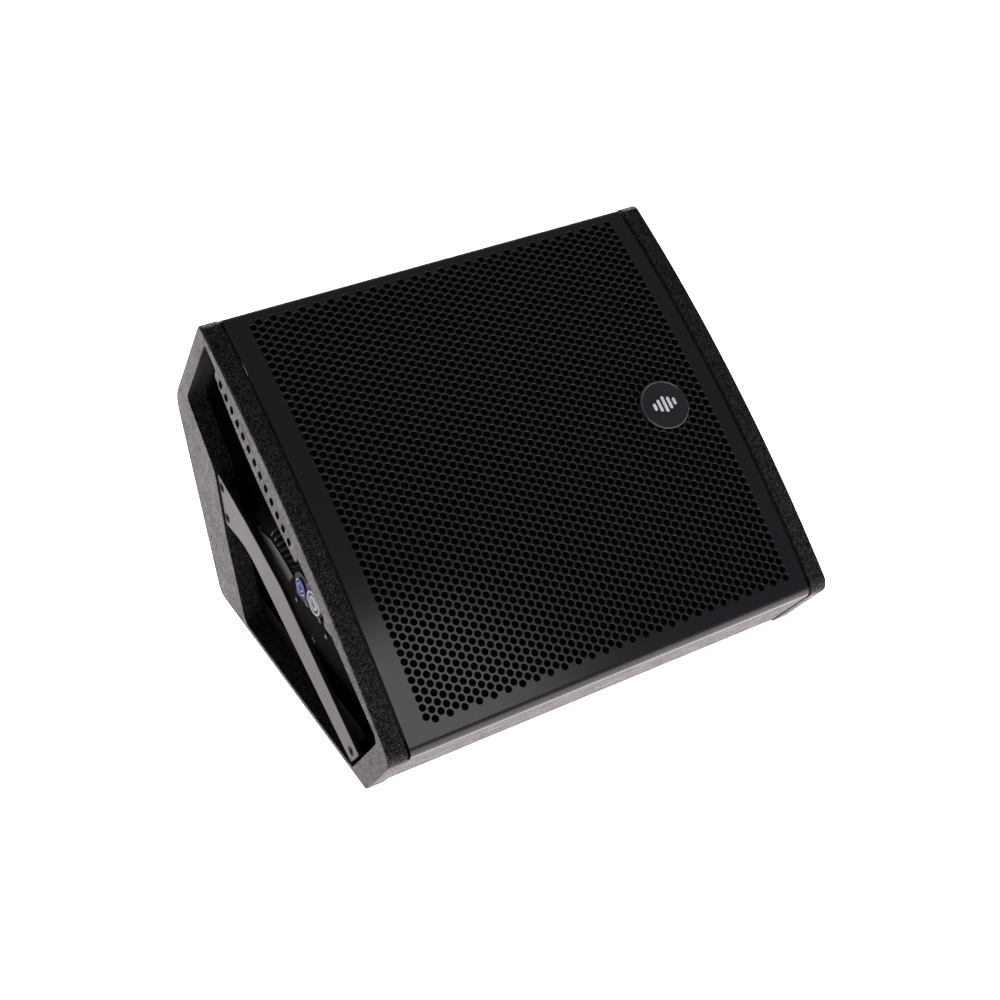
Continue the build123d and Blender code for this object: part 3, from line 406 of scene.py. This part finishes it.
def perforated_sheet():
    """The grille: a closed sheet with a round hole in each staggered cell."""
    bm = bmesh.new()
    cache = {}

    def vert(x, v, depth):
        key = (round(x * 1e6), round(v * 1e6), depth > 0)
        if key not in cache:
            cache[key] = bm.verts.new(sheet_point(x, v, depth))
        return cache[key]

    rows_low = round((FIRST_V - HALF_V - HALF_V) * 1e6) / 1e6
    steps_v = ROWS * 4 + 2
    field_xs = [FIRST_X - HALF_X + HALF_X * i for i in range(COLUMNS * 2 + 1)]
    lead_in = [-GRILLE_HALF, -0.2034, -0.197, -0.19]
    xs = lead_in + field_xs + [-x for x in reversed(lead_in)]
    vs = [rows_low + STEP_V * j for j in range(steps_v + 1)]
    top_end = TOP_RUN + FOLD_TOP * (pi / 2 - TOP_ANGLE) + (TOP_OUT - TOP_LEG_END)
    front_turn = pi / 2 - FRONT_ANGLE - asin((FRONT_END - FRONT_OUT) / FOLD_FRONT)
    front_end = -(FRONT_RUN + FOLD_FRONT * front_turn)
    above = [vs[-1] + 0.0008 * k for k in range(1, 15)]
    above += [above[-1] + (top_end - above[-1]) * k / 4 for k in range(1, 5)]
    below = [vs[0] - 0.0012 * k for k in range(1, 20) if vs[0] - 0.0012 * k > front_end + 0.0006]
    vs = [front_end] + below[::-1] + vs + above
    first = len(below) + 1
    x0 = len(lead_in)
    holes = set()
    for i in range(COLUMNS):
        shift, rows = (0, ROWS) if i % 2 else (2, ROWS - 1)
        for j in range(rows):
            for dx in range(2):
                for dv in range(4):
                    holes.add((x0 + 2 * i + dx, first + shift + 4 * j + dv))
    for depth, flip in ((0.0, False), (SHEET, True)):
        for a in range(len(xs) - 1):
            for b in range(len(vs) - 1):
                if (a, b) in holes:
                    continue
                loop = [vert(xs[a], vs[b], depth), vert(xs[a + 1], vs[b], depth),
                        vert(xs[a + 1], vs[b + 1], depth), vert(xs[a], vs[b + 1], depth)]
                bm.faces.new(loop[::-1] if flip else loop)
    rim = [(1, 0), (1, 1), (1, 2), (0, 2), (-1, 2), (-1, 1)]
    rim += [(-dx, -dv) for dx, dv in rim]
    for i in range(COLUMNS):
        cx = field_xs[2 * i + 1]
        shift, rows = (0, ROWS) if i % 2 else (2, ROWS - 1)
        for j in range(rows):
            row = first + shift + 4 * j + 2
            cv = vs[row]
            rings = {}
            for depth in (0.0, SHEET):
                hole = []
                radius = HOLE_R if depth else RIM_R
                for k in range(len(rim)):
                    a = 2 * pi * k / len(rim)
                    hole.append(bm.verts.new(sheet_point(cx + radius * cos(a), cv + radius * sin(a), depth)))
                border = [vert(xs[x0 + 2 * i + 1 + dx], vs[row + dv], depth) for dx, dv in rim]
                for k in range(len(rim)):
                    n = (k + 1) % len(rim)
                    loop = [border[k], border[n], hole[n], hole[k]]
                    bm.faces.new(loop if depth == 0.0 else loop[::-1])
                rings[depth] = hole
            lip = [bm.verts.new(sheet_point(cx + HOLE_R * cos(2 * pi * k / len(rim)),
                                            cv + HOLE_R * sin(2 * pi * k / len(rim)), RIM_DEPTH))
                   for k in range(len(rim))]
            for upper, lower in ((rings[0.0], lip), (lip, rings[SHEET])):
                for k in range(len(rim)):
                    n = (k + 1) % len(rim)
                    bm.faces.new([upper[k], upper[n], lower[n], lower[k]])
    for a in range(len(xs) - 1):
        for b, flip in ((0, False), (len(vs) - 1, True)):
            loop = [vert(xs[a], vs[b], SHEET), vert(xs[a + 1], vs[b], SHEET),
                    vert(xs[a + 1], vs[b], 0.0), vert(xs[a], vs[b], 0.0)]
            bm.faces.new(loop[::-1] if flip else loop)
    for b in range(len(vs) - 1):
        for a, flip in ((0, True), (len(xs) - 1, False)):
            loop = [vert(xs[a], vs[b], SHEET), vert(xs[a], vs[b + 1], SHEET),
                    vert(xs[a], vs[b + 1], 0.0), vert(xs[a], vs[b], 0.0)]
            bm.faces.new(loop[::-1] if flip else loop)
    return bm


grille = make_piece("perforated_grille", perforated_sheet(), GRILLE)
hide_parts("grille")


def foam_pad():
    """The dust foam behind the grille: a curved pad, slightly quilted where it is glued."""
    bm = bmesh.new()
    half_left, half_right = 0.2035, 0.1955
    low, high = -0.188, 0.182
    nx, nv = 80, 74
    grid = {}
    for top in (True, False):
        for i in range(nx + 1):
            for j in range(nv + 1):
                x = -half_left + (half_left + half_right) * i / nx
                v = low + (high - low) * j / nv
                edge = min(i, nx - i, j, nv - j)
                soft = 0.0012 * (1 - min(edge, 2) / 2)
                wave = 0.00025 * sin(x * 95) * sin(v * 80)
                depth = SHEET + 0.0004 + soft + abs(wave) if top else SHEET + 0.0047 - soft
                grid[top, i, j] = bm.verts.new(sheet_point(x, v, depth))
    for top in (True, False):
        for i in range(nx):
            for j in range(nv):
                loop = [grid[top, i, j], grid[top, i + 1, j], grid[top, i + 1, j + 1], grid[top, i, j + 1]]
                bm.faces.new(loop if top else loop[::-1])
    edge = [(i, 0) for i in range(nx)] + [(nx, j) for j in range(nv)]
    edge += [(i, nv) for i in range(nx, 0, -1)] + [(0, j) for j in range(nv, 0, -1)]
    for k, (i, j) in enumerate(edge):
        ni, nj = edge[(k + 1) % len(edge)]
        bm.faces.new([grid[True, ni, nj], grid[True, i, j], grid[False, i, j], grid[False, ni, nj]])
    return bm


foam = make_piece("foam_pad", foam_pad(), FOAM_AND_HOLE_SHADE)
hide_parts("grille_foam")

# The badge: a dished gloss disc with a bright rim, and a plain five-bar mark on it.
BADGE_X, BADGE_UP = 0.1445, -0.0025


def badge_point(r, a, height):
    return place(BADGE_X + r * cos(a), BADGE_UP + r * sin(a), height)


def spin_profile(profile, count=72):
    """A closed solid of revolution on the badge's axis; the profile starts and ends on it."""
    bm = bmesh.new()
    rings = []
    for r, h in profile:
        if r == 0:
            rings.append([bm.verts.new(badge_point(0, 0, h))])
        else:
            rings.append([bm.verts.new(badge_point(r, 2 * pi * k / count, h)) for k in range(count)])
    for low, high in zip(rings, rings[1:]):
        for k in range(count):
            n = (k + 1) % count
            loop = [low[k % len(low)], low[n % len(low)], high[n % len(high)], high[k % len(high)]]
            loop = [v for t, v in enumerate(loop) if v not in loop[:t]]
            bm.faces.new(loop)
    return bm


DISC = [(0, -0.0004), (0.0236, -0.0004), (0.024, 0.0002), (0.024, 0.0012), (0.0236, 0.0019), (0.0229, 0.0022),
        (0.0222, 0.002), (0.0218, 0.0016), (0.0205, 0.0016), (0.019, 0.0018), (0.013, 0.0021), (0, 0.0023)]
badge = make_piece("round_badge", spin_profile(DISC), BADGE)
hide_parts("badge")


def pill(bm, cx, cy, width, height, low, high, count=8):
    """A raised bar with round ends and an eased top edge."""
    r = width / 2
    straight = height / 2 - r
    outline = []
    for end in (1, -1):
        for k in range(count + 1):
            a = (0 if end > 0 else pi) + pi * k / count
            outline.append((cos(a), sin(a), end))
    loops = []
    for inset, h in ((0, low), (0, high - 0.00012), (0.00012, high)):
        loops.append([bm.verts.new(place(cx + (r - inset) * c, cy + end * straight + (r - inset) * s, h))
                      for c, s, end in outline])
    for a, b in zip(loops, loops[1:]):
        for k in range(len(a)):
            n = (k + 1) % len(a)
            bm.faces.new([a[k], a[n], b[n], b[k]])
    bm.faces.new(loops[-1])
    bm.faces.new(loops[0][::-1])


def bar_mark():
    bm = bmesh.new()
    for i, height in enumerate((7, 12, 16, 12, 7)):
        pill(bm, BADGE_X + (i - 2) * 5.2 * MM, BADGE_UP, 3.0 * MM, height * MM, 0.0014, 0.0026)
    return bm


make_piece("badge_bars", bar_mark(), MARK)

# Printing on the connector plate: plain ticks round the knob and rules under the sockets.
PLATE_X = -0.197
PRINT_OUT = 0.00006


def printed(shapes):
    """Thin raised prints on the connector plate, as (centre y, centre z, length, width, turn)."""
    bm = bmesh.new()
    for y, z, length, width, turn in shapes:
        along = Vector((0, cos(turn), sin(turn))) * length / 2
        across = Vector((0, -sin(turn), cos(turn))) * width / 2
        centre = Vector((PLATE_X, y, z))
        corners = [centre - along - across, centre + along - across,
                   centre + along + across, centre - along + across]
        low = [bm.verts.new(p) for p in corners]
        high = [bm.verts.new(p - Vector((PRINT_OUT, 0, 0))) for p in corners]
        bm.faces.new(low)
        bm.faces.new(high[::-1])
        for k in range(4):
            n = (k + 1) % 4
            bm.faces.new([low[n], low[k], high[k], high[n]])
    bmesh.ops.recalc_face_normals(bm, faces=bm.faces)
    return bm


KNOB_Y, KNOB_Z = CENTRE_Y - 0.062, 0.096
ticks = []
for k in range(11):
    a = radians(90 + 150 - 30 * k)
    ticks.append((KNOB_Y + 0.0108 * cos(a), KNOB_Z + 0.0108 * sin(a), 0.0022, 0.0005, a))
for y in (0.054, 0.028, -0.002, -0.029):
    ticks.append((CENTRE_Y + y, 0.0795, 0.016, 0.0005, 0.0))
make_piece("plate_print", printed(ticks), PRINT, smooth=False)

# The driver's surround and spider, which on the real driver flex with the cone.
DRIVER_X = 0.033
FLANGE_TOP = -0.036
ROLL_MID, ROLL_R, ROLL_FOOT, ROLL_SHEET = 0.123, 0.00815, -0.0418, 0.0009
SPIDER_MID, SPIDER_WAVE, SPIDER_SHEET = -0.09655, 0.0034, 0.0008


def driver_point(r, a, height):
    return place(DRIVER_X + r * cos(a), r * sin(a), height)


def turned(bm, outline, count=144):
    """A closed ring about the driver's axis from a closed (radius, height) outline."""
    rings = [[bm.verts.new(driver_point(r, 2 * pi * k / count, h)) for k in range(count)] for r, h in outline]
    for low, high in zip(rings, rings[1:] + rings[:1]):
        for k in range(count):
            n = (k + 1) % count
            bm.faces.new([low[k], low[n], high[n], high[k]])


def strip(line, sheet):
    """The closed outline of a sheet of that thickness along a (radius, height) line."""
    upper, lower = [], []
    for k, (r, h) in enumerate(line):
        back, ahead = line[max(k - 1, 0)], line[min(k + 1, len(line) - 1)]
        dr, dh = ahead[0] - back[0], ahead[1] - back[1]
        half = sheet / 2 / sqrt(dr * dr + dh * dh)
        upper.append((r - dh * half, h + dr * half))
        lower.append((r + dh * half, h - dr * half))
    return upper + lower[::-1]


def follow_cone(obj):
    """Bake the piece's placement into its mesh.
    """
    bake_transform(obj)


def surround_rings():
    """A half-roll with a flat inner lip, and the rim that is glued inside the basket's flange."""
    bm = bmesh.new()
    lip = ROLL_FOOT + ROLL_SHEET / 2
    line = [(0.1092, lip), (0.111, lip), (0.1128, lip), (0.114, lip + 0.0002)]
    for k in range(25):
        a = radians(166 - k * 156 / 24)
        line.append((ROLL_MID + ROLL_R * cos(a), ROLL_FOOT + ROLL_R * sin(a)))
    turned(bm, strip(line, ROLL_SHEET))
    wall_in, wall_out, rim_out = 0.1307, 0.1316, 0.138
    rim_top = FLANGE_TOP + ROLL_SHEET
    turned(bm, [(wall_in, ROLL_FOOT), (wall_out, ROLL_FOOT), (wall_out, FLANGE_TOP),
                (rim_out, FLANGE_TOP), (rim_out, rim_top), (wall_in, rim_top)])
    bmesh.ops.recalc_face_normals(bm, faces=bm.faces)
    return bm


def spider_ring():
    """A flat-edged disc of four corrugations."""
    bm = bmesh.new()
    waves_in, waves_out, half_wave = 0.0405, 0.0725, 0.008
    line = [(0.03845, SPIDER_MID), (0.0395, SPIDER_MID)]
    for k in range(65):
        r = waves_in + (waves_out - waves_in) * k / 64
        line.append((r, SPIDER_MID + SPIDER_WAVE * sin(pi * (r - waves_in) / half_wave)))
    line += [(0.0745, SPIDER_MID), (0.08, SPIDER_MID)]
    turned(bm, strip(line, SPIDER_SHEET))
    bmesh.ops.recalc_face_normals(bm, faces=bm.faces)
    return bm


surround = make_piece("flexing_surround", surround_rings(), RUBBER, None)
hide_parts("woofer_surround")
follow_cone(surround)
spider = make_piece("corrugated_spider", spider_ring(), CLOTH, None)
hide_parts("woofer_spider")
follow_cone(spider)

# ---- floor, light and camera ----------------------------------------------------------------
FLOOR_GLOW, FLOOR_HALF, FLOOR_GAP = 2.3, 6.0, 0.0003
floor_mesh = bpy.data.meshes.new("floor")
floor_bm = bmesh.new()
bmesh.ops.create_grid(floor_bm, x_segments=4, y_segments=4, size=FLOOR_HALF)
floor_bm.to_mesh(floor_mesh)
floor_bm.free()
floor = bpy.data.objects.new("floor", floor_mesh)
bpy.context.scene.collection.objects.link(floor)
floor_look, fn, fl, fs = new_material("pale_floor")
fl.new(ramp(fn, fl, noise(fn, fl, 3.0, 3.0), [(0.3, grey(0.88)), (0.7, grey(0.9))]), fs.inputs["Base Color"])
fs.inputs["Roughness"].default_value = 0.9
fs.inputs["Emission Color"].default_value = (1, 0.9, 0.9, 1)
fs.inputs["Emission Strength"].default_value = FLOOR_GLOW
floor_mesh.materials.append(floor_look)
floor.location.z = -FLOOR_GAP

world = bpy.data.worlds.new("studio")
bpy.context.scene.world = world
world.use_nodes = True
wn, wl = world.node_tree.nodes, world.node_tree.links
background = wn["Background"]
sky_coords = wn.new("ShaderNodeTexCoord")
split = wn.new("ShaderNodeSeparateXYZ")
wl.new(sky_coords.outputs["Generated"], split.inputs["Vector"])
sky = ramp(wn, wl, split.outputs["Z"],
           [(0.0, grey(1.0)), (0.15, (0.9, 0.88, 0.95)),
            (0.42, (0.25, 0.245, 0.3)), (0.9, (0.22, 0.215, 0.25))])
wl.new(sky, background.inputs["Color"])
background.inputs["Strength"].default_value = 1.0


def softbox(name, location, target, size, power):
    light = bpy.data.lights.new(name, "AREA")
    light.shape = "RECTANGLE"
    light.size, light.size_y = size
    light.energy = power
    obj = bpy.data.objects.new(name, light)
    obj.location = location
    obj.rotation_euler = (Vector(target) - Vector(location)).to_track_quat("-Z", "Y").to_euler()
    bpy.context.scene.collection.objects.link(obj)
    return obj


softbox("back_softbox", (1.15, 2.35, 1.05), (0, 0, 0.2), (2.2, 0.5), 70)
softbox("left_softbox", (-2.4, 0.6, 1.5), (0, 0, 0.1), (1.6, 1.2), 4)
softbox("front_softbox", (0.14, -1.32, 1.226), (-0.42, -0.27, 0.02), (0.88, 0.6), 3.6)

camera_data = bpy.data.cameras.new("photo_camera")
camera = bpy.data.objects.new("photo_camera", camera_data)
bpy.context.scene.collection.objects.link(camera)
FROM_APEX = (-0.6552, -1.0545, 0.8413)
camera.location = (FROM_APEX[0], CENTRE_Y + FROM_APEX[1], CENTRE_Z + FROM_APEX[2])
AIM = Vector((0.41474, 0.69645, -0.58563))
camera.rotation_euler = AIM.to_track_quat("-Z", "Y").to_euler()
camera_data.lens = 61.87
camera_data.sensor_width = 36.0
camera_data.clip_start = 0.01
bpy.context.scene.camera = camera

bpy.context.scene.view_settings.view_transform = "Standard"
bpy.context.view_layer.update()
